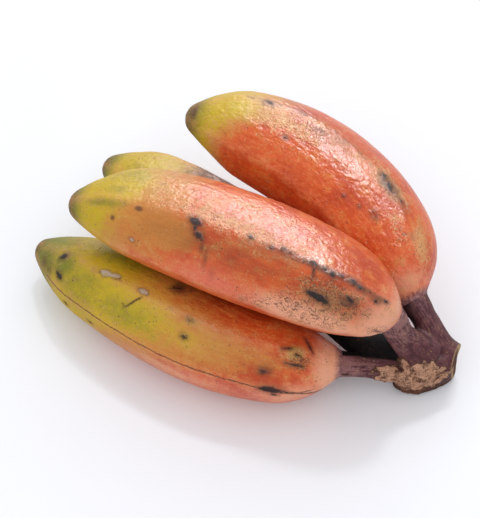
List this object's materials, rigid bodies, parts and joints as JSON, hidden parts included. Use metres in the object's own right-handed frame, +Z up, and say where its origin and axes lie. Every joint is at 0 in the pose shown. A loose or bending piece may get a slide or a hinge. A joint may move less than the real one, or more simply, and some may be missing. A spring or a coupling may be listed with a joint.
{
  "type": "red banana hand",
  "caption": "Short, plump red bananas with soft ridges and yellow tips, fanned out in a hand from one cut woody crown and lying on their side.",
  "frame": {"origin": "on the ground under the middle of the hand's bounding box", "axes": "+X along the hand from the fruit tips to the cut crown, +Z up as the hand lies"},
  "size_m": [0.1775, 0.1169, 0.0787],
  "materials": {
    "peel": "smooth leathery peel with a soft waxy sheen, salmon to orange red, yellow to olive at the tips, with tan russet specks and dark bruises",
    "stalk": "dull purple-brown stalk with fine lengthways fibres, torn tan fibres on the crown and a pale cut end"
  },
  "bodies": {
    "root": {"stem": "stalk", "banana_front": "peel", "banana_top": "peel", "banana_right": "peel", "banana_back": "peel"}
  },
  "joints": []
}
